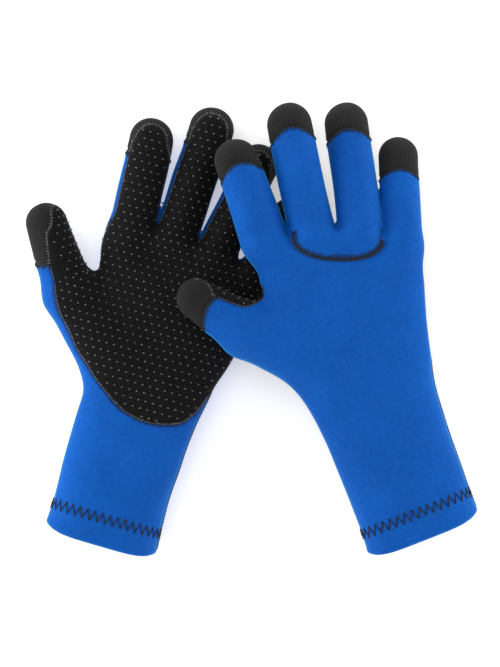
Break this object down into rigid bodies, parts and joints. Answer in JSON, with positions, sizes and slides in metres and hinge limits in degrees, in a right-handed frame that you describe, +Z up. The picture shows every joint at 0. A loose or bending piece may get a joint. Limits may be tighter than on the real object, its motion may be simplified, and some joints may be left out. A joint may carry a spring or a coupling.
{
  "type": "sailing gloves",
  "caption": "Pair of puffed neoprene sailing gloves with long cuffs, knit fingertip caps and dotted grip palms, one lying palm up and the other across it palm down.",
  "frame": {"origin": "on the table, under the middle of the pair", "axes": "+Z up from the table, +Y towards the fingertips, +X towards the right glove; the gloves lie flat with the left one palm up"},
  "size_m": [0.2635, 0.2644, 0.0597],
  "materials": {
    "blue_neoprene": "matt stretch fabric laminated on closed-cell neoprene",
    "knit_cap": "fine ribbed knit, matt",
    "grip_palm": "matt knit with small raised silicone dots",
    "seam_thread": "polyester thread",
    "cuff_lining": "thin brushed jersey"
  },
  "bodies": {
    "left_hand": {"left_back_panel": "blue_neoprene", "left_knuckle_panel": "blue_neoprene", "left_palm_panel": "grip_palm", "left_side_seam": "seam_thread", "left_cuff_hem": "blue_neoprene", "left_cuff_lining": "cuff_lining", "left_cuff_stitch": "seam_thread", "left_knuckle_stitch": "seam_thread", "left_palm_stitch": "seam_thread"},
    "left_thumb": {"left_thumb_back": "blue_neoprene", "left_thumb_palm": "grip_palm", "left_thumb_cap": "knit_cap", "left_thumb_stitch": "seam_thread"},
    "left_index": {"left_index_back": "blue_neoprene", "left_index_palm": "grip_palm", "left_index_cap": "knit_cap", "left_index_stitch": "seam_thread"},
    "left_middle": {"left_middle_back": "blue_neoprene", "left_middle_palm": "grip_palm", "left_middle_cap": "knit_cap", "left_middle_stitch": "seam_thread"},
    "left_ring": {"left_ring_back": "blue_neoprene", "left_ring_palm": "grip_palm", "left_ring_cap": "knit_cap", "left_ring_stitch": "seam_thread"},
    "left_little": {"left_little_back": "blue_neoprene", "left_little_palm": "grip_palm", "left_little_cap": "knit_cap", "left_little_stitch": "seam_thread"},
    "right_hand": {"right_back_panel": "blue_neoprene", "right_knuckle_panel": "blue_neoprene", "right_palm_panel": "grip_palm", "right_side_seam": "seam_thread", "right_cuff_hem": "blue_neoprene", "right_cuff_lining": "cuff_lining", "right_cuff_stitch": "seam_thread", "right_knuckle_stitch": "seam_thread", "right_palm_stitch": "seam_thread"},
    "right_thumb": {"right_thumb_back": "blue_neoprene", "right_thumb_palm": "grip_palm", "right_thumb_cap": "knit_cap", "right_thumb_stitch": "seam_thread"},
    "right_index": {"right_index_back": "blue_neoprene", "right_index_palm": "grip_palm", "right_index_cap": "knit_cap", "right_index_stitch": "seam_thread"},
    "right_middle": {"right_middle_back": "blue_neoprene", "right_middle_palm": "grip_palm", "right_middle_cap": "knit_cap", "right_middle_stitch": "seam_thread"},
    "right_ring": {"right_ring_back": "blue_neoprene", "right_ring_palm": "grip_palm", "right_ring_cap": "knit_cap", "right_ring_stitch": "seam_thread"},
    "right_little": {"right_little_back": "blue_neoprene", "right_little_palm": "grip_palm", "right_little_cap": "knit_cap", "right_little_stitch": "seam_thread"}
  },
  "joints": [
    {"name": "right_glove_lift", "type": "slide", "parent": "left_hand", "child": "right_hand", "axis": [0, 0, 1], "range_m": [0, 0.15]},
    {"name": "left_thumb_bend", "type": "hinge", "parent": "left_hand", "child": "left_thumb", "pos_m": [-0.10847, 0.0283, 0.03], "axis": [0.9483, 0.3173, 0], "range_deg": [0, 60], "stiffness_Nm_per_rad": 0.03},
    {"name": "left_index_bend", "type": "hinge", "parent": "left_hand", "child": "left_index", "pos_m": [-0.06946, 0.0606, 0.0277], "axis": [0.9755, -0.2199, 0], "range_deg": [0, 80], "stiffness_Nm_per_rad": 0.03},
    {"name": "left_middle_bend", "type": "hinge", "parent": "left_hand", "child": "left_middle", "pos_m": [-0.04419, 0.05491, 0.0269], "axis": [0.9478, -0.319, 0], "range_deg": [0, 9], "stiffness_Nm_per_rad": 0.03},
    {"name": "left_ring_bend", "type": "hinge", "parent": "left_hand", "child": "left_ring", "pos_m": [-0.0201, 0.04664, 0.0261], "axis": [0.9011, -0.4337, 0], "range_deg": [0, 4], "stiffness_Nm_per_rad": 0.03},
    {"name": "left_little_bend", "type": "hinge", "parent": "left_hand", "child": "left_little", "pos_m": [0.00342, 0.03419, 0.0242], "axis": [0.8712, -0.4909, 0], "range_deg": [0, 12], "stiffness_Nm_per_rad": 0.03},
    {"name": "right_thumb_bend", "type": "hinge", "parent": "right_hand", "child": "right_thumb", "pos_m": [-0.00302, -0.00123, 0.0538], "axis": [0.5373, 0.8434, 0], "range_deg": [0, 45], "stiffness_Nm_per_rad": 0.03},
    {"name": "right_index_bend", "type": "hinge", "parent": "right_hand", "child": "right_index", "pos_m": [0.0072, 0.05119, 0.0597], "axis": [0.9421, 0.3354, 0], "range_deg": [0, 50], "stiffness_Nm_per_rad": 0.03},
    {"name": "right_middle_bend", "type": "hinge", "parent": "right_hand", "child": "right_middle", "pos_m": [0.0341, 0.05822, 0.0585], "axis": [0.9778, 0.2096, 0], "range_deg": [0, 50], "stiffness_Nm_per_rad": 0.03},
    {"name": "right_ring_bend", "type": "hinge", "parent": "right_hand", "child": "right_ring", "pos_m": [0.06266, 0.05704, 0.0571], "axis": [0.9923, 0.1236, 0], "range_deg": [0, 55], "stiffness_Nm_per_rad": 0.03},
    {"name": "right_little_bend", "type": "hinge", "parent": "right_hand", "child": "right_little", "pos_m": [0.08667, 0.05148, 0.055], "axis": [0.9994, 0.0349, 0], "range_deg": [0, 55], "stiffness_Nm_per_rad": 0.03}
  ]
}
